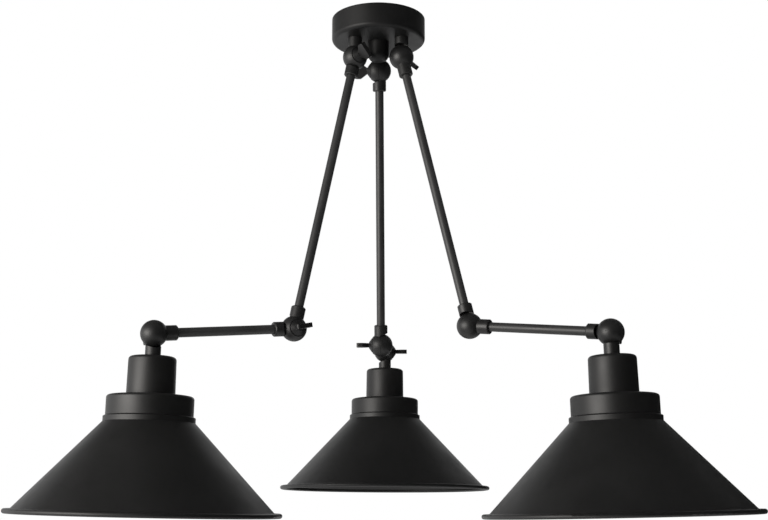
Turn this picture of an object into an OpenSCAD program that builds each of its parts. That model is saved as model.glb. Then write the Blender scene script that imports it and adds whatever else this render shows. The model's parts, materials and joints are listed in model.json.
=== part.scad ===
// Ceiling light with three two-section swing arms.
// A round canopy carries three arms. Each arm has clamped split-ball knuckles at the
// shoulder, the elbow and the lamp, and ends in a lampholder cup with a spun cone shade.
// Origin: centre of the canopy on the ceiling plane. +Z is up, so the light hangs below zero.

/* [Canopy] */
// Outside diameter of the canopy
canopy_d = 120; // [104:1:160]
// Height of the canopy
canopy_h = 30.2; // [27:0.2:45]
// Sheet thickness of the canopy
canopy_wall = 1.2; // [0.8:0.1:2]
// Outside radius of the lower edge of the canopy
canopy_edge_r = 5; // [3:0.5:8]
// Radius of the circle on which the arms hang
hub_r = 34; // [32:0.5:38]
// Diameter of the cap nut under the canopy
cap_d = 27; // [20:0.5:30]
// Height of the cap nut
cap_h = 25.2; // [20:0.2:34]
// Radius of the lower edge of the cap nut
cap_edge_r = 9; // [2:0.5:10]
// Depth of the threaded hole in the cap nut
cap_bore = 14.4; // [10:0.2:15]

/* [Ceiling fixing] */
// Length of the ceiling bracket
bracket_l = 104; // [98:1:110]
// Width of the ceiling bracket
bracket_w = 20; // [18:1:26]
// Thickness of the ceiling bracket
bracket_t = 2; // [1.5:0.1:3]
// Distance between the two fixing slots
slot_spacing = 80; // [76:1:84]
// Length of a fixing slot, end to end
slot_l = 14; // [8:0.5:16]
// Width of a fixing slot
slot_w = 5; // [4:0.1:6]
// Diameter of the threaded stud and of the threaded spigots
thread_d = 10; // [8:0.5:12]
// Diameter of the wire hole in stud and spigots
wire_d = 6; // [4:0.5:7]
// Width across the flats of the nuts
nut_af = 14; // [13:0.5:17]
// Thickness of the nuts
nut_t = 4; // [3:0.25:5]
// Length of the terminal block
terminal_l = 20; // [16:1:20]
// Width of the terminal block
terminal_w = 17; // [14:1:18]
// Height of the terminal block
terminal_h = 12; // [9:0.5:14]
// Diameter of the holes for wires and clamp screws
terminal_hole_d = 3.6; // [3:0.1:4.5]
// Height of the wire holes above the foot of the block
terminal_wire_z = 4.2; // [3:0.1:5]
// Distance between the two rows of clamp screws
terminal_row_gap = 7.5; // [5:0.5:9]

/* [Knuckles] */
// Diameter of a knuckle ball
ball_d = 31; // [29:0.2:33]
// Broken edge of a ball half along the split
seam_bevel = 0.5; // [0.2:0.1:1]
// Diameter of the stems that leave a knuckle
stem_d = 17.6; // [15.4:0.2:18.4]
// Length of a tube stem, from the ball centre to its end
stem_l = 27; // [25:0.5:34]
// Depth of the tube socket in a stem
socket_depth = 9; // [6:0.5:10]
// Size of the chamfer at the end of a tube stem
stem_chamfer = 1; // [0.4:0.1:1.4]
// Length of the threaded spigot above a shoulder stem
stem_spigot_l = 6.4; // [6:0.2:9]
// Drop of the shoulder ball centre below the canopy
shoulder_drop = 25.6; // [24:0.2:32]
// Radius of the hollow for the wires inside a ball
chamber_r = 11.4; // [9:0.2:12]
// Diameter of the pivot boss inside a ball
boss_d = 10; // [8:0.5:12]
// Distance of the flat under the screw collar from the ball centre
flat_y = 11.2; // [10.4:0.2:12.4]

/* [Wing screws] */
// Diameter of the screw shank
shank_d = 5; // [4:0.5:6]
// Depth of the shank in the threaded half
thread_depth = 9.4; // [7:0.2:11]
// Diameter of the screw collar
collar_d = 19; // [16:0.5:20]
// Thickness of the rim of the screw collar
collar_t = 0.8; // [0.5:0.1:2]
// Distance of the neck of the wings from the ball centre
wing_neck = 16; // [15:0.2:18]
// Width of the neck of the wings
wing_neck_w = 8; // [6:0.2:10]
// Distance from the ball centre at which the wings reach their full width
wing_full = 24.4; // [22:0.2:27]
// Distance of the wing tips from the ball centre
wing_tip = 32.4; // [31:0.2:38]
// Width over both wings
wing_w = 20.4; // [16:0.2:24]
// Thickness of the wings
wing_t = 5.4; // [3:0.2:6]
// Radius of the corners of the wings
wing_corner_r = 2.8; // [1:0.2:4]
// Turn of the shoulder wings about their screws: left, right, rear
shoulder_wing_turn = [51, -32, 0]; // [-90:1:90]
// Turn of the elbow wings about their screws: left, right, rear
elbow_wing_turn = [6, 0, 0]; // [-90:1:90]
// Turn of the lamp wings about their screws: left, right, rear
lamp_wing_turn = [90, 90, 0]; // [-90:1:90]

/* [Arms] */
// Outside diameter of the arm tubes
tube_d = 11; // [9:0.5:12.5]
// Wall of the arm tubes
tube_wall = 1; // [0.8:0.1:1.8]
// Length of the upper section, ball centre to ball centre
upper_l = 363.4; // [300:0.2:450]
// Length of the lower section, ball centre to ball centre
lower_l = 174; // [150:0.5:240]

/* [Pose] */
// Compass angle of each arm: left, right, rear
arm_turn = [209.7, 331.2, 88.9]; // [0:0.1:360]
// Lean of each upper section out from the vertical
upper_lean = [12.8, 14.6, 13.4]; // [5:0.1:20]
// Rise of each lower section above the level
lower_rise = [-5.6, -6, 3.6]; // [-10:0.1:10]
// Lean of each lamp out from the vertical
lamp_lean = [1.2, 1.7, -1.6]; // [-5:0.1:5]

/* [Lamps] */
// Diameter of the neck under the lamp knuckle
neck_d = 17.7; // [15.5:0.1:18.5]
// Length of the threaded spigot under the neck
spigot_l = 10; // [8:0.5:12]
// Drop of the cup top below the lamp ball centre
cup_drop = 26.3; // [25:0.1:34]
// Diameter of the cup at its top
cup_top_d = 53.6; // [50:0.2:64]
// Diameter of the cup at its lower end
cup_low_d = 54.6; // [50:0.2:66]
// Height of the cup
cup_h = 44; // [38:0.5:52]
// Sheet thickness of the cup
cup_wall = 1.2; // [0.8:0.1:2]
// Radius of the top edge of the cup
cup_edge_r = 4; // [2:0.5:6]
// Width of the lip at the foot of the cup
cup_lip = 0.8; // [0.4:0.1:2]

/* [Lampholder] */
// Diameter of the lampholder body
holder_d = 40; // [38:0.5:44]
// Diameter of the top of the lampholder
holder_top_d = 28; // [24:0.5:32]
// Thickness of the lampholder between spigot and bulb
holder_roof = 5.2; // [4:0.2:8]
// Width of the flange above the shade
holder_flange_w = 2; // [1:0.5:3]
// Thickness of the flange above the shade
holder_flange_t = 5; // [3:0.5:6]
// Diameter of the threaded skirt that carries the shade
skirt_d = 39; // [37:0.5:39.5]
// Length of the skirt below the shade plate
skirt_l = 22; // [16:0.5:28]
// Inside diameter of the screw shell
shell_d = 26.6; // [26:0.1:27]
// Wall of the screw shell
shell_wall = 0.7; // [0.4:0.1:1]
// Length of the screw shell
shell_l = 24; // [20:0.5:27]
// Drop of the screw shell below the floor of the lampholder
shell_drop = 10; // [9.5:0.5:12]
// Thickness of the foot of the screw shell
shell_foot_t = 1; // [0.6:0.1:2]
// Diameter of the base of the centre contact
contact_base_d = 9; // [7:0.5:14]
// Thickness of the base of the centre contact
contact_base_t = 1; // [0.6:0.1:2]
// Diameter of the post of the centre contact
contact_post_d = 4; // [3:0.1:5]
// Diameter of the domed head of the centre contact
contact_head_d = 6.4; // [5.4:0.1:9]
// Drop of the domed head below the floor of the lampholder
contact_drop = 6; // [4:0.2:9]
// Width of the flange of the shade ring
ring_flange_w = 5.5; // [4:0.5:9]
// Thickness of the flange of the shade ring
ring_flange_t = 2; // [1.5:0.1:3]
// Width of the sleeve of the shade ring
ring_sleeve_w = 2.5; // [1.5:0.1:3.5]
// Length of the sleeve of the shade ring
ring_sleeve_l = 6; // [4:0.5:12]

/* [Shade] */
// Outside diameter of the shade at its rim
shade_d = 302.4; // [250:0.2:360]
// Sheet thickness of the shade
shade_wall = 0.9; // [0.7:0.1:1.5]
// Diameter of the collar on top of the shade
collar_shade_d = 97.4; // [84:0.2:110]
// Height of the collar
collar_shade_h = 22.5; // [16:0.5:34]
// Radius of the top edge of the collar
collar_edge_r = 3.5; // [1.5:0.5:6]
// Width of the step between the collar and the cone
step_w = 2.5; // [1.5:0.1:4]
// Fall of the ledge of the step
step_fall = 1.4; // [0.4:0.1:2.5]
// Height of the step
step_h = 7; // [4:0.5:10]
// Height of the cone
cone_h = 96.6; // [70:0.2:130]
// Width of the flange round the rim
rim_w = 8.7; // [6:0.1:14]
// Fall of the flange from the cone to the rolled edge
rim_fall = 0.5; // [0.2:0.1:3]
// Radius of the rolled edge
roll_r = 2.7; // [1.4:0.1:3]

/* [Clearances] */
// Gap between the flat faces of two ball halves
split_gap = 0.2; // [0.1:0.05:0.4]
// Gap between a stem and the ball half that turns under it
ball_gap = 1.2; // [0.8:0.1:2.4]
// Radial clearance of the shade on the skirt of its lampholder
shade_gap = 0.3; // [0.2:0.05:0.6]
// Radial clearance of a turning shank
turn_gap = 0.08; // [0.02:0.01:0.1]
// Clearance of parts that are pushed or screwed together
fit_gap = 0.05; // [0.03:0.01:0.1]
// Gap under flat faces that seat on another piece
seat_gap = 0.1; // [0.05:0.05:0.2]
// Gap between the terminal block and the nut beside it
terminal_gap = 0.4; // [0.2:0.1:1]

/* [Hidden] */
$fn = 96;
ARMS = ["left", "right", "rear"];
ARM_NODES = [
    "shoulder_socket", "shoulder_ball", "shoulder_screw", "upper_tube", "elbow_socket",
    "elbow_ball", "elbow_screw", "lower_tube", "lamp_ball", "lamp_neck", "lamp_screw",
    "cup", "lampholder", "screw_shell", "centre_contact", "shade_ring", "shade"
];

// Colours
BLACK = [0.08, 0.08, 0.085];
STEEL = [0.7, 0.71, 0.72];
BRASS = [0.78, 0.62, 0.3];
BAKELITE = [0.12, 0.1, 0.09];
CREAM = [0.9, 0.88, 0.82];

// Which side of the arm plane a screw head or a ball half is on
SCREW_SIDE = 1;
BACK_SIDE = -1;
LAMP_SCREW_SIDE = [BACK_SIDE, SCREW_SIDE, BACK_SIDE];

ball_r = ball_d / 2;
stem_r = stem_d / 2;
tube_r = tube_d / 2;
thread_r = thread_d / 2;
canopy_r = canopy_d / 2;
shade_r = shade_d / 2;
arc_steps = 8;
// How far a cut runs past the face it opens
cut = 1;
// Long enough for a wire hole to run out of any stem
wire_reach = stem_l + shoulder_drop + cup_drop + spigot_l;
// A stem starts between the hollow and the skin of its ball
stem_start_r = (chamber_r + ball_r) / 2;
wire_start = (boss_d / 2 + chamber_r) / 2;

// Points of an arc about c, from angle a to angle b
function arc(c, r, a, b) = [
    for (i = [0 : arc_steps])
        let (t = a + (b - a) * i / arc_steps)
        c + r * [cos(t), sin(t)]
];

// Sheet metal outlines run so that the inside of the sheet lies on their right
function right_normal(a, b) = [b.y - a.y, a.x - b.x] / norm(b - a);
function inset_point(line, i, t) = let (
        last = len(line) - 1,
        before = right_normal(line[max(i - 1, 0)], line[max(i, 1)]),
        after = right_normal(line[min(i, last - 1)], line[min(i + 1, last)]),
        m = before + after
    ) line[i] + m * 2 * t / (m * m);
function sheet_outline(line, t) = concat(
    line,
    [for (i = [len(line) - 1 : -1 : 0]) inset_point(line, i, t)]
);

// Places of the three knuckles, in the plane of an arm: X outwards, Z up
function shoulder_at(i) = [hub_r, 0, -canopy_h - shoulder_drop];
function elbow_at(i) = shoulder_at(i) + upper_l * [sin(upper_lean[i]), 0, -cos(upper_lean[i])];
function lamp_at(i) = elbow_at(i) + lower_l * [cos(lower_rise[i]), 0, sin(lower_rise[i])];

module in_arm(i, place) {
    rotate([0, 0, arm_turn[i]])
        translate(place)
            children();
}

// Turns local +X to point at an angle above the level, in the plane of the arm
module aim(angle) {
    rotate([0, -angle, 0])
        children();
}

// Turns local +Z to lie along +X, the direction of a stem
module along_stem() {
    rotate([0, 90, 0])
        children();
}

// Turns local +Z to the pivot axis, on the given side of the arm plane
module on_pivot(side) {
    rotate([-90 * side, 0, 0])
        children();
}

module in_lamp(i) {
    in_arm(i, lamp_at(i))
        rotate([0, -lamp_lean[i], 0])
            children();
}

// Outline of a ball half: a dome on the +Y side of the split, with a hollow round its pivot boss
module half_ball_outline(top, hole_r, hole_depth) {
    difference() {
        intersection() {
            circle(ball_r);
            translate([0, split_gap / 2])
                square([ball_r, top - split_gap / 2]);
        }
        intersection() {
            circle(chamber_r);
            translate([boss_d / 2, 0])
                square(chamber_r);
        }
        square([hole_r, hole_depth]);
        polygon([
            [ball_r - seam_bevel, 0],
            [ball_r + cut, 0],
            [ball_r + cut, split_gap / 2 + seam_bevel]
        ]);
    }
}

// Space that the opposite ball half turns in, open all round so that a shadow gap shows
module turning_space() {
    translate([0, 0, -ball_r])
        cylinder(r = ball_r + ball_gap, h = ball_r + split_gap / 2);
}

// One half of a knuckle. Its children are the stem, drawn along +X
module knuckle_half(side, screw_head) {
    difference() {
        union() {
            on_pivot(side)
                rotate_extrude()
                    if (screw_head)
                        half_ball_outline(flat_y, shank_d / 2 + turn_gap, ball_r);
                    else
                        half_ball_outline(ball_r, shank_d / 2 + fit_gap, thread_depth + split_gap);
            difference() {
                children();
                on_pivot(side)
                    turning_space();
                sphere(stem_start_r);
            }
        }
        along_stem()
            translate([0, 0, wire_start])
                cylinder(d = wire_d, h = wire_reach);
    }
}

// Stem with a chamfered end and a socket for an arm tube
module tube_stem() {
    difference() {
        along_stem()
            rotate_extrude()
                polygon([
                    [0, 0],
                    [stem_r, 0],
                    [stem_r, stem_l - stem_chamfer],
                    [stem_r - stem_chamfer, stem_l],
                    [0, stem_l]
                ]);
        along_stem()
            translate([0, 0, stem_l - socket_depth])
                cylinder(r = tube_r + fit_gap, h = socket_depth + cut);
    }
}

// Stem with a threaded spigot beyond its shoulder
module spigot_stem(r, shoulder, spigot) {
    along_stem()
        rotate_extrude()
            polygon([
                [0, 0],
                [r, 0],
                [r, shoulder],
                [thread_r, shoulder],
                [thread_r, shoulder + spigot],
                [0, shoulder + spigot]
            ]);
}

module arm_tube(length) {
    seat = stem_l - socket_depth + seat_gap;
    along_stem()
        translate([0, 0, seat])
            difference() {
                cylinder(r = tube_r, h = length - 2 * seat);
                translate([0, 0, -cut])
                    cylinder(r = tube_r - tube_wall, h = length);
            }
}

// Outline of the wings: a neck that flares out to two rounded tips
module wing_outline(foot) {
    neck = wing_neck_w / 2;
    half = wing_w / 2;
    corner = [half - wing_corner_r, wing_tip - wing_corner_r];
    polygon(concat(
        [[-neck, foot], [neck, foot], [neck, wing_neck], [half, wing_full]],
        arc(corner, wing_corner_r, 0, 90),
        arc([-corner.x, corner.y], wing_corner_r, 90, 180),
        [[-half, wing_full], [-neck, wing_neck]]
    ));
}

// Wing screw along the pivot axis: shank, tapered collar and wings
module wing_screw(side, turn) {
    collar_y = flat_y + seat_gap;
    on_pivot(side)
        rotate([0, 0, turn]) {
            rotate_extrude()
                polygon([
                    [0, -thread_depth],
                    [shank_d / 2, -thread_depth],
                    [shank_d / 2, collar_y],
                    [collar_d / 2, collar_y],
                    [collar_d / 2, collar_y + collar_t],
                    [wing_neck_w / 2, wing_neck],
                    [0, wing_neck]
                ]);
            rotate([90, 0, 0])
                translate([0, 0, -wing_t / 2])
                    linear_extrude(wing_t)
                        wing_outline(collar_y + collar_t);
        }
}

module hub_places() {
    for (turn = arm_turn)
        rotate([0, 0, turn])
            translate([hub_r, 0, 0])
                children();
}

module canopy() {
    line = concat(
        [[canopy_r, 0]],
        arc([canopy_r - canopy_edge_r, -canopy_h + canopy_edge_r], canopy_edge_r, 0, -90),
        [[thread_r + fit_gap, -canopy_h]]
    );
    color(BLACK)
        difference() {
            rotate_extrude()
                polygon(sheet_outline(line, canopy_wall));
            hub_places()
                translate([0, 0, -canopy_h - cut])
                    cylinder(r = thread_r + fit_gap, h = canopy_wall + 2 * cut);
        }
}

module canopy_cap() {
    r = cap_d / 2;
    color(BLACK)
        translate([0, 0, -canopy_h])
            rotate_extrude()
                polygon(concat(
                    [[thread_r + fit_gap, -cap_bore], [thread_r + fit_gap, 0], [r, 0]],
                    arc([r - cap_edge_r, -cap_h + cap_edge_r], cap_edge_r, 0, -90),
                    [[0, -cap_h], [0, -cap_bore]]
                ));
}

module centre_stud() {
    stud_l = canopy_h + cap_bore - seat_gap;
    color(STEEL)
        translate([0, 0, -stud_l])
            difference() {
                cylinder(r = thread_r, h = stud_l);
                translate([0, 0, -cut])
                    cylinder(d = wire_d, h = stud_l + 2 * cut);
            }
}

// Bar outline with round ends, centred on the origin
module round_bar(length, width) {
    square([length - width, width], center = true);
    for (side = [-1, 1])
        translate([side * (length - width) / 2, 0])
            circle(d = width);
}

module ceiling_bracket() {
    color(STEEL)
        translate([0, 0, -bracket_t])
            linear_extrude(bracket_t)
                difference() {
                    round_bar(bracket_l, bracket_w);
                    circle(thread_r + fit_gap);
                    for (side = [-1, 1])
                        translate([side * slot_spacing / 2, 0])
                            round_bar(slot_l, slot_w);
                }
}

module hex_nut() {
    difference() {
        cylinder(d = nut_af / cos(30), h = nut_t, $fn = 6);
        translate([0, 0, -cut])
            cylinder(r = thread_r + fit_gap, h = nut_t + 2 * cut);
    }
}

// One nut locks the stud under the bracket, the others hold the shoulder stems
module nuts() {
    color(STEEL) {
        translate([0, 0, -bracket_t - nut_t])
            hex_nut();
        hub_places()
            translate([0, 0, -canopy_h + canopy_wall])
                hex_nut();
    }
}

module terminal_block() {
    ways = 3;
    pitch = terminal_l / ways;
    left = nut_af / cos(30) / 2 + terminal_gap;
    color(CREAM)
        translate([left, 0, -bracket_t - terminal_h])
            difference() {
                translate([0, -terminal_w / 2, 0])
                    cube([terminal_l, terminal_w, terminal_h]);
                for (way = [1 : ways])
                    translate([way * pitch - pitch / 2, 0, 0]) {
                        translate([0, 0, terminal_wire_z])
                            rotate([90, 0, 0])
                                cylinder(d = terminal_hole_d, h = terminal_w + 2 * cut, center = true);
                        for (side = [-1, 1])
                            translate([0, side * terminal_row_gap / 2, -cut])
                                cylinder(d = terminal_hole_d, h = terminal_wire_z + cut);
                    }
            }
}

// Fixed half of the shoulder, screwed into the canopy
module shoulder_socket(i) {
    color(BLACK)
        in_arm(i, shoulder_at(i))
            aim(90)
                knuckle_half(SCREW_SIDE, true)
                    spigot_stem(stem_r, shoulder_drop, stem_spigot_l);
}

module shoulder_ball(i) {
    color(BLACK)
        in_arm(i, shoulder_at(i))
            aim(upper_lean[i] - 90)
                knuckle_half(BACK_SIDE, false)
                    tube_stem();
}

module shoulder_screw(i) {
    color(BLACK)
        in_arm(i, shoulder_at(i))
            aim(upper_lean[i] - 90)
                wing_screw(SCREW_SIDE, shoulder_wing_turn[i]);
}

module upper_tube(i) {
    color(BLACK)
        in_arm(i, shoulder_at(i))
            aim(upper_lean[i] - 90)
                arm_tube(upper_l);
}

module elbow_socket(i) {
    color(BLACK)
        in_arm(i, elbow_at(i))
            aim(upper_lean[i] + 90)
                knuckle_half(SCREW_SIDE, true)
                    tube_stem();
}

module elbow_ball(i) {
    color(BLACK)
        in_arm(i, elbow_at(i))
            aim(lower_rise[i])
                knuckle_half(BACK_SIDE, false)
                    tube_stem();
}

module elbow_screw(i) {
    color(BLACK)
        in_arm(i, elbow_at(i))
            aim(lower_rise[i])
                wing_screw(SCREW_SIDE, elbow_wing_turn[i]);
}

module lower_tube(i) {
    color(BLACK)
        in_arm(i, elbow_at(i))
            aim(lower_rise[i])
                arm_tube(lower_l);
}

// At the lamp the screw heads of the two front arms both face the back
module lamp_ball(i) {
    color(BLACK)
        in_arm(i, lamp_at(i))
            aim(lower_rise[i] + 180)
                knuckle_half(SCREW_SIDE, LAMP_SCREW_SIDE[i] == SCREW_SIDE)
                    tube_stem();
}

module lamp_screw(i) {
    color(BLACK)
        in_arm(i, lamp_at(i))
            aim(lower_rise[i] + 180)
                wing_screw(LAMP_SCREW_SIDE[i], lamp_wing_turn[i]);
}

// Levels of the lamp's pieces, measured down from the lamp ball centre
cup_foot = cup_drop + cup_h;
holder_top = cup_drop + cup_wall + seat_gap;
bulb_floor = holder_top + spigot_l + holder_roof;
shade_plate_foot = cup_foot + shade_wall;
skirt_foot = shade_plate_foot + skirt_l;
skirt_r = skirt_d / 2;
shell_r = shell_d / 2;
mouth_r = shell_r + 2 * shell_wall + fit_gap;

module lamp_neck(i) {
    color(BLACK)
        in_arm(i, lamp_at(i))
            aim(lamp_lean[i] - 90)
                knuckle_half(BACK_SIDE, LAMP_SCREW_SIDE[i] == BACK_SIDE)
                    spigot_stem(neck_d / 2, cup_drop, spigot_l);
}

module cup(i) {
    top_r = cup_top_d / 2;
    low_r = cup_low_d / 2;
    line = concat(
        [[thread_r + fit_gap, -cup_drop]],
        arc([top_r - cup_edge_r, -cup_drop - cup_edge_r], cup_edge_r, 90, 0),
        [[low_r, -cup_foot + cup_wall / 2]]
    );
    color(BLACK)
        in_lamp(i) {
            rotate_extrude()
                polygon(sheet_outline(line, cup_wall));
            rotate_extrude()
                translate([low_r - cup_wall, -cup_foot])
                    square([cup_wall + cup_lip, cup_wall]);
        }
}

// Lampholder: a closed cap on the spigot, a flange above the shade plate and a threaded skirt
module lampholder(i) {
    holder_r = holder_d / 2;
    flange_r = holder_r + holder_flange_w;
    flange_foot = cup_foot - seat_gap;
    flange_top = flange_foot - holder_flange_t;
    color(BAKELITE)
        in_lamp(i)
            rotate_extrude()
                polygon([
                    [thread_r + fit_gap, -holder_top],
                    [holder_top_d / 2, -holder_top],
                    [holder_r, -holder_top - spigot_l],
                    [holder_r, -flange_top],
                    [flange_r, -flange_top],
                    [flange_r, -flange_foot],
                    [skirt_r, -flange_foot],
                    [skirt_r, -skirt_foot],
                    [mouth_r, -skirt_foot],
                    [mouth_r, -bulb_floor],
                    [0, -bulb_floor],
                    [0, -holder_top - spigot_l],
                    [thread_r + fit_gap, -holder_top - spigot_l]
                ]);
}

module screw_shell(i) {
    color(BRASS)
        in_lamp(i)
            translate([0, 0, -bulb_floor - shell_drop])
                rotate_extrude() {
                    translate([shell_r, -shell_l])
                        square([shell_wall, shell_l]);
                    translate([shell_r, -shell_foot_t])
                        square([2 * shell_wall, shell_foot_t]);
                }
}

// Rivet with a domed head that touches the foot of the bulb
module centre_contact(i) {
    base_r = contact_base_d / 2;
    post_r = contact_post_d / 2;
    color(BRASS)
        in_lamp(i)
            translate([0, 0, -bulb_floor])
                rotate_extrude()
                    polygon(concat(
                        [[0, 0], [base_r, 0], [base_r, -contact_base_t]],
                        [[post_r, -contact_base_t], [post_r, -contact_drop]],
                        arc([0, -contact_drop], contact_head_d / 2, 0, -90)
                    ));
}

module shade_ring(i) {
    bore_r = skirt_r + fit_gap;
    top = shade_plate_foot + seat_gap;
    color(BAKELITE)
        in_lamp(i)
            rotate_extrude() {
                translate([bore_r, -top - ring_flange_t])
                    square([ring_flange_w, ring_flange_t]);
                translate([bore_r, -top - ring_sleeve_l])
                    square([ring_sleeve_w, ring_sleeve_l]);
            }
}

module shade(i) {
    collar_r = collar_shade_d / 2;
    collar_foot = cup_foot + collar_shade_h;
    step_foot = collar_foot + step_h;
    cone_foot = step_foot + cone_h;
    rim_top = cone_foot + rim_fall;
    line = concat(
        [[skirt_r + shade_gap, -cup_foot]],
        arc([collar_r - collar_edge_r, -cup_foot - collar_edge_r], collar_edge_r, 90, 0),
        [
            [collar_r, -collar_foot],
            [collar_r + step_w, -collar_foot - step_fall],
            [collar_r + step_w, -step_foot],
            [shade_r - rim_w, -cone_foot],
            [shade_r - roll_r, -rim_top]
        ]
    );
    color(BLACK)
        in_lamp(i) {
            rotate_extrude($fn = 180)
                polygon(sheet_outline(line, shade_wall));
            rotate_extrude($fn = 180)
                translate([shade_r - roll_r, -rim_top - roll_r + shade_wall / 2])
                    circle(roll_r, $fn = 24);
        }
}

module arm_part(i, part) {
    if (part == "shoulder_socket") shoulder_socket(i);
    if (part == "shoulder_ball") shoulder_ball(i);
    if (part == "shoulder_screw") shoulder_screw(i);
    if (part == "upper_tube") upper_tube(i);
    if (part == "elbow_socket") elbow_socket(i);
    if (part == "elbow_ball") elbow_ball(i);
    if (part == "elbow_screw") elbow_screw(i);
    if (part == "lower_tube") lower_tube(i);
    if (part == "lamp_ball") lamp_ball(i);
    if (part == "lamp_neck") lamp_neck(i);
    if (part == "lamp_screw") lamp_screw(i);
    if (part == "cup") cup(i);
    if (part == "lampholder") lampholder(i);
    if (part == "screw_shell") screw_shell(i);
    if (part == "centre_contact") centre_contact(i);
    if (part == "shade_ring") shade_ring(i);
    if (part == "shade") shade(i);
}

canopy();
canopy_cap();
ceiling_bracket();
centre_stud();
nuts();
terminal_block();
for (i = [0 : len(ARMS) - 1])
    for (part = ARM_NODES)
        arm_part(i, part);
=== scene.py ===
"""Looks of a three-arm ceiling light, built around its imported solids."""

import json
import math

import bpy
from mathutils import Matrix, Vector


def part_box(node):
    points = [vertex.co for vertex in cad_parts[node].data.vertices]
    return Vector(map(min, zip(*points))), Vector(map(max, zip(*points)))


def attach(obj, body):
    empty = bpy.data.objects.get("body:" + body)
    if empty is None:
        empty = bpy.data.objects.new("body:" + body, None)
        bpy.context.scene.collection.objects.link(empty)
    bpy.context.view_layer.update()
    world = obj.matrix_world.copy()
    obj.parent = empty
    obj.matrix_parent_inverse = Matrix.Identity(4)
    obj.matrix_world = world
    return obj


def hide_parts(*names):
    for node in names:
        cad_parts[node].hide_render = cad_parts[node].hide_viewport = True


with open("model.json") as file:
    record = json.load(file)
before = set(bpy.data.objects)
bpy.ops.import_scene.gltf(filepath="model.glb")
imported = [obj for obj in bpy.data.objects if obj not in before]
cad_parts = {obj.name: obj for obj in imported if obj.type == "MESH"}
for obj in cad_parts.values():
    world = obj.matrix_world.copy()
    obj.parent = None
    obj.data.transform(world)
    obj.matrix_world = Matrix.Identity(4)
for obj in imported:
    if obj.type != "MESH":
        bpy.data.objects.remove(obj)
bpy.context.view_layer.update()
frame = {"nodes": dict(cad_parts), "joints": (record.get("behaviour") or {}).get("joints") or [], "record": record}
record = frame["record"]
scene = bpy.context.scene

ARMS = ("left", "right", "rear")
MM = 0.001
FULL_TURN = 2 * math.pi
SHARP_EDGE = math.radians(35)

# Levels of a lamp's inner pieces, in mm below the centre of its knuckle
HOLDER_TOP = 27.6
SPIGOT_FOOT = 37.6
BULB_FLOOR = 42.8
SHELL_TOP = 52.8
FLANGE_FOOT = 70.2
RING_TOP = 71.3
SHELL_FOOT = 76.8
SKIRT_FOOT = 93.2

# Stage, lengths in metres
FLOOR_Z = -2.4
FLOOR_HALF = 12.0
FLOOR_TONES = (0.88, 0.91)
RUN_OUT_START, RUN_OUT_END = 2.5, 8.0
CARD_R = 3.0
CARD_TOP = 0.95
CARD_BACK = 1.9
CARD_PARTS = 24
CARD_FROM, CARD_TO = -25, 157
OVERHEAD_SHADE = 0.16
SIDE_SHADE = 0.05
WORLD_LIGHT = 0.7
KEY_PLACE = (-1.7, -1.4, -0.35)
KEY_AIM = (0.0, 0.0, -0.35)
KEY_SIZE = (1.5, 1.1)
KEY_POWER = 46.0
KEY_COLOUR = (1.0, 0.965, 0.92)

# Camera of the photograph
SENSOR_MM = 36.0
LENS_MM = 56.27
SHIFT_X, SHIFT_Y = 0.025, 0.035
CAMERA_PLACE = (0.02432, -1.47798, -0.59917)
CAMERA_DEGREES = (99.566, -0.211, 1.544)


# Helpers for shader nodes
def new_material(name):
    mat = bpy.data.materials.new(name)
    mat.use_nodes = True
    tree = mat.node_tree
    tree.nodes.clear()
    out = tree.nodes.new("ShaderNodeOutputMaterial")
    shader = tree.nodes.new("ShaderNodeBsdfPrincipled")
    join(tree, shader.outputs["BSDF"], out.inputs["Surface"])
    return mat, tree, shader


def add(tree, kind, **settings):
    made = tree.nodes.new(kind)
    for key, value in settings.items():
        setattr(made, key, value)
    return made


def join(tree, source, target):
    tree.links.new(source, target)


def object_place(tree):
    return add(tree, "ShaderNodeTexCoord").outputs["Object"]


def noise(tree, vector, scale, detail=3.0, rough=0.5):
    made = add(tree, "ShaderNodeTexNoise")
    made.inputs["Scale"].default_value = scale
    made.inputs["Detail"].default_value = detail
    made.inputs["Roughness"].default_value = rough
    join(tree, vector, made.inputs["Vector"])
    return made.outputs["Fac"]


def spread(tree, value, low, high, from_low=0.3, from_high=0.7):
    made = add(tree, "ShaderNodeMapRange")
    made.inputs["From Min"].default_value = from_low
    made.inputs["From Max"].default_value = from_high
    made.inputs["To Min"].default_value = low
    made.inputs["To Max"].default_value = high
    join(tree, value, made.inputs["Value"])
    return made.outputs["Result"]


def maths(tree, operation, first, second):
    made = add(tree, "ShaderNodeMath", operation=operation)
    join(tree, first, made.inputs[0])
    join(tree, second, made.inputs[1])
    return made.outputs["Value"]


def blend_colour(tree, factor, first, second):
    made = add(tree, "ShaderNodeMix", data_type="RGBA")
    join(tree, factor, made.inputs["Factor"])
    for socket, value in (("A", first), ("B", second)):
        target = next(s for s in made.inputs if s.name == socket and s.type == "RGBA")
        if isinstance(value, tuple):
            target.default_value = (*value, 1.0)
        else:
            join(tree, value, target)
    return next(s for s in made.outputs if s.type == "RGBA")


def blend_shader(tree, factor, first, second):
    made = add(tree, "ShaderNodeMixShader")
    join(tree, factor, made.inputs["Fac"])
    join(tree, first, made.inputs[1])
    join(tree, second, made.inputs[2])
    return made.outputs["Shader"]


def bump(tree, height, distance, strength, normal):
    made = add(tree, "ShaderNodeBump")
    made.inputs["Strength"].default_value = strength
    made.inputs["Distance"].default_value = distance
    join(tree, height, made.inputs["Height"])
    join(tree, normal, made.inputs["Normal"])
    return made.outputs["Normal"]


def rounded_normal(tree, radius):
    made = add(tree, "ShaderNodeBevel", samples=6)
    made.inputs["Radius"].default_value = radius
    return made.outputs["Normal"]


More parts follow.
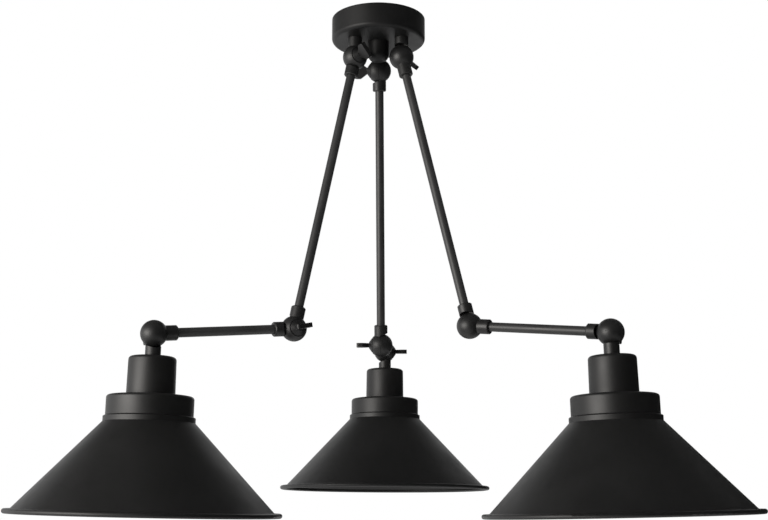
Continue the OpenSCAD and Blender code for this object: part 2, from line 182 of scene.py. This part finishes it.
def edge_mask(tree, rounded):
    """1 on sharp edges, 0 on open faces."""
    flat = add(tree, "ShaderNodeNewGeometry")
    dot = add(tree, "ShaderNodeVectorMath", operation="DOT_PRODUCT")
    join(tree, rounded, dot.inputs[0])
    join(tree, flat.outputs["Normal"], dot.inputs[1])
    return spread(tree, dot.outputs["Value"], 1.0, 0.0, 0.8, 0.995)


def scaled(colour, share):
    return tuple(min(1.0, c * share) for c in colour)


# Powder coat: a fine orange peel, patches of slightly different gloss and thin coat on the edges
def powder_coat(name, colour, gloss, grain, peel, edge_radius, specular=0.5):
    mat, tree, shader = new_material(name)
    shader.inputs["Specular IOR Level"].default_value = specular
    place = object_place(tree)
    broad = noise(tree, place, 22.0, 2.0)
    fine = noise(tree, place, grain, 2.0, 0.55)
    rounded = rounded_normal(tree, edge_radius * MM)
    edge = edge_mask(tree, rounded)
    patches = spread(tree, broad, 0.0, 1.0)
    tone = blend_colour(tree, patches, scaled(colour, 0.8), scaled(colour, 1.25))
    coat = blend_colour(tree, edge, tone, scaled(colour, 1.9))
    join(tree, coat, shader.inputs["Base Color"])
    join(tree, spread(tree, broad, gloss - 0.05, gloss + 0.05), shader.inputs["Roughness"])
    join(tree, bump(tree, fine, peel * MM, 0.6, rounded), shader.inputs["Normal"])
    return mat


# Turned or drawn bare metal, with fine lines, tarnished patches and brighter edges
def bare_metal(name, colour, gloss, streak, tarnish):
    mat, tree, shader = new_material(name)
    shader.inputs["Metallic"].default_value = 1.0
    place = object_place(tree)
    stretch = add(tree, "ShaderNodeMapping")
    stretch.inputs["Scale"].default_value = (1.0, 1.0, 14.0)
    join(tree, place, stretch.inputs["Vector"])
    lines = noise(tree, stretch.outputs["Vector"], streak, 2.0)
    patches = noise(tree, place, 90.0, 3.0)
    rounded = rounded_normal(tree, 0.25 * MM)
    edge = edge_mask(tree, rounded)
    tone = blend_colour(tree, spread(tree, patches, 0.0, 1.0), tarnish, colour)
    metal = blend_colour(tree, edge, tone, scaled(colour, 1.2))
    join(tree, metal, shader.inputs["Base Color"])
    join(tree, spread(tree, lines, gloss - 0.08, gloss + 0.1), shader.inputs["Roughness"])
    join(tree, bump(tree, lines, 0.01 * MM, 0.5, rounded), shader.inputs["Normal"])
    return mat


# Moulded plastic with a faint mottle
def moulded(name, colour, gloss, mottle):
    mat, tree, shader = new_material(name)
    place = object_place(tree)
    cloud = noise(tree, place, 60.0, 4.0)
    fine = noise(tree, place, 1400.0, 1.0)
    rounded = rounded_normal(tree, 0.4 * MM)
    tone = blend_colour(tree, spread(tree, cloud, 0.0, 1.0), colour, mottle)
    join(tree, tone, shader.inputs["Base Color"])
    join(tree, spread(tree, cloud, gloss - 0.05, gloss + 0.06), shader.inputs["Roughness"])
    join(tree, bump(tree, fine, 0.008 * MM, 0.4, rounded), shader.inputs["Normal"])
    return mat


BLACK = (0.004, 0.004, 0.0041)
CANOPY_BLACK = (0.006, 0.006, 0.0061)
KNUCKLE_BLACK = (0.008, 0.008, 0.0081)
# The tubes carry the same black paint, painted lighter here as painted light for the brighter light they catch
TUBE_BLACK_PAINTED_LIGHTER = (0.021, 0.021, 0.0212)
# Colour, gloss, grain, depth and edge in mm, and where it isn't the usual one, specular level
PAINTS = {
    "canopy_paint": (CANOPY_BLACK, 0.5, 900.0, 0.12, 0.5, 0.3),
    "knuckle_paint": (KNUCKLE_BLACK, 0.46, 750.0, 0.14, 0.6),
    "screw_paint": (BLACK, 0.44, 900.0, 0.12, 0.7),
    "tube_paint": (TUBE_BLACK_PAINTED_LIGHTER, 0.46, 1000.0, 0.08, 0.4),
    "cup_paint": (BLACK, 0.52, 900.0, 0.12, 0.5),
    "shade_paint": (BLACK, 0.5, 900.0, 0.12, 0.5),
}
# Colour, gloss, fineness of the lines and colour of the tarnish
METALS = {
    "zinc_steel": ((0.62, 0.63, 0.65), 0.36, 160.0, (0.5, 0.5, 0.49)),
    "brass": ((0.78, 0.58, 0.25), 0.3, 220.0, (0.62, 0.43, 0.16)),
}
# Colour, gloss and colour of the mottle
PLASTICS = {
    "bakelite": ((0.013, 0.011, 0.010), 0.36, (0.02, 0.016, 0.013)),
    "terminal_plastic": ((0.82, 0.79, 0.7), 0.5, (0.76, 0.73, 0.63)),
}
looks = {}
for make, table in ((powder_coat, PAINTS), (bare_metal, METALS), (moulded, PLASTICS)):
    for slot_name, values in table.items():
        looks[slot_name] = make(slot_name, *values)
for row in record["subparts"]:
    solid = frame["nodes"][row["node"]]
    solid.data.materials.clear()
    solid.data.materials.append(looks[row["material_slot"]])


# Mesh helpers
def make_piece(name, points, faces, slot, body, stands_for):
    mesh = bpy.data.meshes.new(name)
    mesh.from_pydata(points, [], faces)
    mesh.validate()
    mesh.materials.append(looks[slot])
    piece = bpy.data.objects.new(name, mesh)
    scene.collection.objects.link(piece)
    mesh.shade_smooth()
    mesh.set_sharp_from_angle(angle=SHARP_EDGE)
    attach(piece, body)
    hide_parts(stands_for)


def lathe(profile, place, segments, shape):
    """Points and faces of a closed (radius, height) profile in mm, turned about Z.

    shape gives the radius at a point of the profile and a turn.
    """
    points, rings, faces = [], [], []
    for radius, height in profile:
        if radius == 0.0:
            rings.append([len(points)])
            points.append(tuple(place @ Vector((0.0, 0.0, height * MM))))
            continue
        rings.append(range(len(points), len(points) + segments))
        for k in range(segments):
            turn = FULL_TURN * k / segments
            r = shape(radius, height, turn) * MM
            spot = Vector((r * math.cos(turn), r * math.sin(turn), height * MM))
            points.append(tuple(place @ spot))
    for ring, after in zip(rings, rings[1:] + rings[:1]):
        if len(ring) == 1 and len(after) == 1:
            continue
        for k in range(segments):
            n = (k + 1) % segments
            here = [ring[k % len(ring)], ring[n % len(ring)]]
            there = [after[n % len(after)], after[k % len(after)]]
            faces.append(tuple(dict.fromkeys(here + there)))
    return points, faces


def steps(start, end, count):
    return [start + (end - start) * k / count for k in range(count + 1)]


def fade(value, low, high, width):
    """1 inside a span, falling to 0 at both of its ends."""
    share = min(value - low, high - value) / width
    share = max(0.0, min(1.0, share))
    return share * share * (3 - 2 * share)


def helix(height, turn, pitch):
    """Height of a rolled thread, from 0 in the valley to 1 on the crest."""
    return 0.5 + 0.5 * math.cos(FULL_TURN * (height / pitch - turn / FULL_TURN))


def named(rows, name):
    return next(row for row in rows if row["name"] == name)


def lamp_place(arm):
    """Frame of a lamp: centre of its knuckle, Z up along the lamp's own axis."""
    knuckle = named(frame["joints"], arm + "_lamp")
    socket = named(record["mounts"], arm + "_bulb_socket")
    up = -Vector(socket["axis"]).normalized()
    side = Vector(knuckle["axis"]).normalized()
    front = side.cross(up).normalized()
    turned = Matrix((front, up.cross(front), up)).transposed().to_4x4()
    return Matrix.Translation(Vector(knuckle["pos_m"])) @ turned


# Screw shell: rolled brass thread for the bulb
def screw_shell(arm, place):
    pitch, depth, wall, middle = 3.6, 0.9, 0.4, 13.45
    flange, flange_thick, plain_top, thread_end = 14.7, 0.8, 1.2, 1.5
    rows = 56

    def thread(radius, height, turn):
        part = fade(-height, SHELL_TOP + plain_top, SHELL_FOOT, thread_end)
        return radius + depth * (helix(height, turn, pitch) - 0.5) * part

    levels = steps(-SHELL_TOP, -SHELL_FOOT, rows)
    outside = [(middle + wall / 2, h) for h in levels]
    inside = [(middle - wall / 2, h) for h in reversed(levels)]
    collar = [(flange, -SHELL_TOP), (flange, -SHELL_TOP - flange_thick)]
    points, faces = lathe(inside + collar + outside[2:], place, 72, thread)
    body, node = arm + "_lamp", arm + "_screw_shell"
    make_piece(arm + "_thread_shell", points, faces, "brass", body, node)


# Lampholder body with the coarse thread that carries the shade ring
def lampholder(arm, place):
    pitch, depth, thread_end, rows = 2.5, 0.7, 1.2, 88
    bore, body_r, flange, flange_thick, skirt, mouth = 5.05, 20.0, 22.0, 5.0, 19.5, 14.75
    top, foot = -FLANGE_FOOT, -SKIRT_FOOT

    def thread(radius, height, turn):
        if radius != skirt or height > top:
            return radius
        valley = 1 - helix(height, turn, pitch)
        return radius - depth * valley * fade(height, foot, top, thread_end)

    profile = [
        (bore, -HOLDER_TOP), (13.2, -HOLDER_TOP), (14.0, -HOLDER_TOP - 0.3),
        (body_r - 0.4, -SPIGOT_FOOT + 0.5), (body_r, -SPIGOT_FOOT - 0.6),
        (body_r, top + flange_thick), (flange - 0.6, top + flange_thick),
        (flange, top + flange_thick - 0.6), (flange, top),
    ]
    profile += [(skirt, h) for h in steps(top, foot, rows)]
    profile += [(15.4, foot), (mouth, foot + 0.6), (mouth, -BULB_FLOOR)]
    profile += [(0.0, -BULB_FLOOR), (0.0, -SPIGOT_FOOT), (bore, -SPIGOT_FOOT)]
    points, faces = lathe(profile, place, 72, thread)
    body, node = arm + "_lamp", arm + "_lampholder"
    make_piece(arm + "_holder_body", points, faces, "bakelite", body, node)


# Shade ring with finger notches round its flange
def shade_ring(arm, place):
    bore, sleeve, flange = 19.55, 22.05, 25.05
    notches, depth = 24, 0.8
    thick, height_all, edge = 2.0, 6.0, 0.4

    def notch(radius, height, turn):
        if radius < sleeve:
            return radius
        return radius - depth * max(0.0, math.cos(notches * turn)) ** 2

    profile = [
        (bore, 0.0), (flange - edge, 0.0), (flange, edge), (flange, thick - edge),
        (flange - edge, thick), (sleeve + 0.3, thick), (sleeve, thick + 0.3),
        (sleeve, height_all - 0.5), (sleeve - 0.5, height_all), (bore, height_all),
    ]
    profile = [(r, -RING_TOP - drop) for r, drop in profile]
    points, faces = lathe(profile, place, 192, notch)
    body, node = arm + "_lamp", arm + "_shade_ring"
    make_piece(arm + "_grip_ring", points, faces, "bakelite", body, node)


# Stud with its fine thread
def centre_stud():
    low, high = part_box("centre_stud")
    top, foot = high.z / MM, low.z / MM
    pitch, depth, outer, inner = 1.0, 0.5, 5.0, 3.0
    thread_end, rows_per_turn = 0.8, 6

    def thread(radius, height, turn):
        if radius != outer:
            return radius
        valley = 1 - helix(height, turn, pitch)
        return radius - depth * valley * fade(height, foot, top, thread_end)

    rows = int((top - foot) / pitch * rows_per_turn)
    profile = [(outer, h) for h in steps(top, foot, rows)] + [(inner, foot), (inner, top)]
    points, faces = lathe(profile, Matrix.Identity(4), 36, thread)
    make_piece("threaded_stud", points, faces, "zinc_steel", "root", "centre_stud")


# Hexagon nuts with the round chamfer that turning leaves on their corners
def hex_nuts():
    flats, thick, bore, chamfer, bore_edge = 14.0, 4.0, 5.05, 6.75, 0.5
    stud_seat, canopy_sheet = -6.0, 1.2
    segments, sixth = 96, FULL_TURN / 6
    slope = math.tan(math.radians(30))
    hub = [Vector(j["pos_m"]) for j in frame["joints"] if j["name"].endswith("_shoulder")]
    arm_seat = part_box("canopy")[0].z / MM + canopy_sheet
    seats = [(0.0, 0.0, stud_seat, 0.0)]
    seats += [(p.x / MM, p.y / MM, arm_seat, math.atan2(p.y, p.x)) for p in hub]
    points, faces = [], []
    for x, y, z, turn in seats:
        base = len(points)
        for k in range(segments):
            angle = FULL_TURN * k / segments
            from_flat = (angle + sixth / 2) % sixth - sixth / 2
            hexagon = flats / 2 / math.cos(from_flat)
            cut = max(0.0, hexagon - chamfer) * slope
            face_r = min(hexagon, chamfer)
            way = Vector((math.cos(angle + turn), math.sin(angle + turn)))
            column = [
                (bore, bore_edge), (bore + bore_edge, 0.0), (face_r, 0.0), (hexagon, cut),
                (hexagon, thick - cut), (face_r, thick), (bore + bore_edge, thick),
                (bore, thick - bore_edge),
            ]
            for r, h in column:
                points.append(((x + way.x * r) * MM, (y + way.y * r) * MM, (z + h) * MM))
        count = len(column)
        for k in range(segments):
            here, there = base + k * count, base + (k + 1) % segments * count
            for c in range(count):
                d = (c + 1) % count
                faces.append((here + c, there + c, there + d, here + d))
    make_piece("hexagon_nuts", points, faces, "zinc_steel", "root", "nuts")


for arm in ARMS:
    where = lamp_place(arm)
    screw_shell(arm, where)
    lampholder(arm, where)
    shade_ring(arm, where)
centre_stud()
hex_nuts()


# Stage: pale floor, white surroundings, cards and a soft light
def seen_ray(tree):
    """1 for rays that show the surroundings to the camera, straight or in a reflection."""
    rays = add(tree, "ShaderNodeLightPath").outputs
    seen = maths(tree, "MAXIMUM", rays["Is Camera Ray"], rays["Is Glossy Ray"])
    return maths(tree, "MAXIMUM", seen, rays["Is Transmission Ray"])


def stage_object(name, points, faces, mat):
    mesh = bpy.data.meshes.new(name)
    mesh.from_pydata(points, [], faces)
    mesh.materials.append(mat)
    made = bpy.data.objects.new(name, mesh)
    scene.collection.objects.link(made)
    return made


# Floor that runs out to white far from the light and lets views from below through
def add_floor():
    mat, tree, shader = new_material("pale_floor")
    place = object_place(tree)
    dark, pale = ((tone, tone, tone) for tone in FLOOR_TONES)
    patches = blend_colour(tree, noise(tree, place, 3.0), dark, pale)
    join(tree, patches, shader.inputs["Base Color"])
    shader.inputs["Roughness"].default_value = 0.9
    shader.inputs["Specular IOR Level"].default_value = 0.1
    away = add(tree, "ShaderNodeVectorMath", operation="LENGTH")
    join(tree, place, away.inputs[0])
    run_out = spread(tree, away.outputs["Value"], 0.0, 1.0, RUN_OUT_START, RUN_OUT_END)
    share = maths(tree, "MULTIPLY", run_out, seen_ray(tree))
    white = add(tree, "ShaderNodeEmission").outputs["Emission"]
    top = blend_shader(tree, share, shader.outputs["BSDF"], white)
    below = add(tree, "ShaderNodeNewGeometry").outputs["Backfacing"]
    clear = add(tree, "ShaderNodeBsdfTransparent").outputs["BSDF"]
    out = next(n for n in tree.nodes if n.type == "OUTPUT_MATERIAL")
    join(tree, blend_shader(tree, below, top, clear), out.inputs["Surface"])
    ways = ((-1, -1), (1, -1), (1, 1), (-1, 1))
    points = [(sx * FLOOR_HALF, sy * FLOOR_HALF, FLOOR_Z) for sx, sy in ways]
    stage_object("floor", points, [(0, 1, 2, 3)], mat)


# Card that only reflections show
def add_card(name, points, faces, shade):
    mat, tree, shader = new_material(name)
    shader.inputs["Base Color"].default_value = (shade, shade, shade, 1.0)
    shader.inputs["Specular IOR Level"].default_value = 0.0
    made = stage_object(name, points, faces, mat)
    made.visible_camera = made.visible_diffuse = made.visible_shadow = False


# A grey card overhead, and a dark one from the camera round to the right
def add_cards():
    corners = ((-CARD_R, -CARD_R), (CARD_R, -CARD_R), (CARD_R, CARD_BACK), (-CARD_R, CARD_BACK))
    points = [(x, y, CARD_TOP) for x, y in corners]
    add_card("overhead_card", points, [(0, 1, 2, 3)], OVERHEAD_SHADE)
    points = []
    for turn in steps(CARD_FROM, CARD_TO, CARD_PARTS):
        x, y = math.sin(math.radians(turn)), -math.cos(math.radians(turn))
        points += [(CARD_R * x, CARD_R * y, z) for z in (FLOOR_Z, CARD_TOP)]
    faces = [(2 * k, 2 * k + 2, 2 * k + 3, 2 * k + 1) for k in range(CARD_PARTS)]
    add_card("side_card", points, faces, SIDE_SHADE)


def background(tree, strength):
    made = add(tree, "ShaderNodeBackground")
    made.inputs["Color"].default_value = (1.0, 1.0, 1.0, 1.0)
    made.inputs["Strength"].default_value = strength
    return made.outputs["Background"]


def add_world():
    scene.world = bpy.data.worlds.new("studio")
    scene.world.use_nodes = True
    tree = scene.world.node_tree
    tree.nodes.clear()
    out = add(tree, "ShaderNodeOutputWorld")
    lighting, seen = background(tree, WORLD_LIGHT), background(tree, 1.0)
    join(tree, blend_shader(tree, seen_ray(tree), lighting, seen), out.inputs["Surface"])


def add_key_light():
    data = bpy.data.lights.new("key_left", "AREA")
    data.shape = "RECTANGLE"
    data.size, data.size_y = KEY_SIZE
    data.energy = KEY_POWER
    data.color = KEY_COLOUR
    lamp = bpy.data.objects.new("key_left", data)
    way = Vector(KEY_AIM) - Vector(KEY_PLACE)
    lamp.location = KEY_PLACE
    lamp.rotation_euler = way.to_track_quat("-Z", "Y").to_euler()
    lamp.visible_camera = False
    scene.collection.objects.link(lamp)


def add_camera():
    data = bpy.data.cameras.new("camera")
    data.sensor_width = SENSOR_MM
    data.lens = LENS_MM
    data.shift_x, data.shift_y = SHIFT_X, SHIFT_Y
    data.clip_start, data.clip_end = 0.01, 100.0
    camera = bpy.data.objects.new("camera", data)
    camera.location = CAMERA_PLACE
    camera.rotation_euler = [math.radians(angle) for angle in CAMERA_DEGREES]
    scene.collection.objects.link(camera)
    scene.camera = camera


add_floor()
add_cards()
add_world()
add_key_light()
add_camera()
scene.view_settings.view_transform = "Standard"
